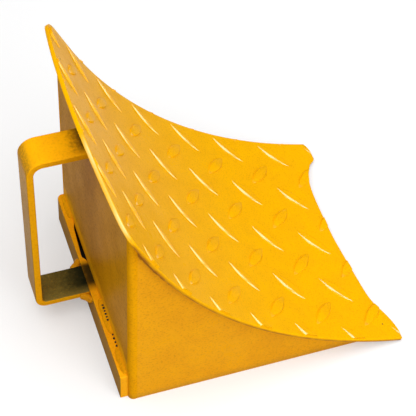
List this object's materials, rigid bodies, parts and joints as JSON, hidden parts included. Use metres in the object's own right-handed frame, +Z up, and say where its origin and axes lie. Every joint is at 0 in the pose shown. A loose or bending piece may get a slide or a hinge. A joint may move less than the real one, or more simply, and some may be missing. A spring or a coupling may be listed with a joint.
{
  "type": "wheel chock",
  "caption": "Welded steel wheel chock: concave diamond tread plate on upright cheeks, rear panel, ground bar and U-bent strap handle, painted yellow.",
  "frame": {"origin": "on the ground, under the middle of the chock's length and width", "axes": "+X from the handle to the toe, +Y to the left seen from behind the handle, +Z up"},
  "size_m": [0.2516, 0.2, 0.2135],
  "materials": {
    "tread_paint": "glossy enamel over raised tread",
    "body_paint": "glossy enamel",
    "bar_paint": "glossy enamel, scuffed",
    "handle_paint": "glossy enamel",
    "weld_paint": "enamel over weld ripples"
  },
  "bodies": {
    "root": {"tread_plate": "tread_paint", "side_panel_left": "body_paint", "side_panel_right": "body_paint", "rear_panel": "body_paint", "center_rib": "body_paint", "ground_bar": "bar_paint", "handle": "handle_paint", "corner_weld_left": "weld_paint", "corner_weld_right": "weld_paint", "rear_seam_weld_left": "weld_paint", "rear_seam_weld_right": "weld_paint", "bar_weld_left": "weld_paint", "bar_weld_middle": "weld_paint", "bar_weld_right": "weld_paint", "handle_upper_weld_top": "weld_paint", "handle_upper_weld_bottom": "weld_paint", "handle_lower_weld_left": "weld_paint", "handle_lower_weld_right": "weld_paint", "tread_weld_left_1": "weld_paint", "tread_weld_left_2": "weld_paint", "tread_weld_left_3": "weld_paint", "tread_weld_right_1": "weld_paint", "tread_weld_right_2": "weld_paint", "tread_weld_right_3": "weld_paint", "rib_tread_weld_left_1": "weld_paint", "rib_tread_weld_left_2": "weld_paint", "rib_tread_weld_left_3": "weld_paint", "rib_tread_weld_right_1": "weld_paint", "rib_tread_weld_right_2": "weld_paint", "rib_tread_weld_right_3": "weld_paint", "rib_rear_weld_left": "weld_paint", "rib_rear_weld_right": "weld_paint"}
  },
  "joints": []
}
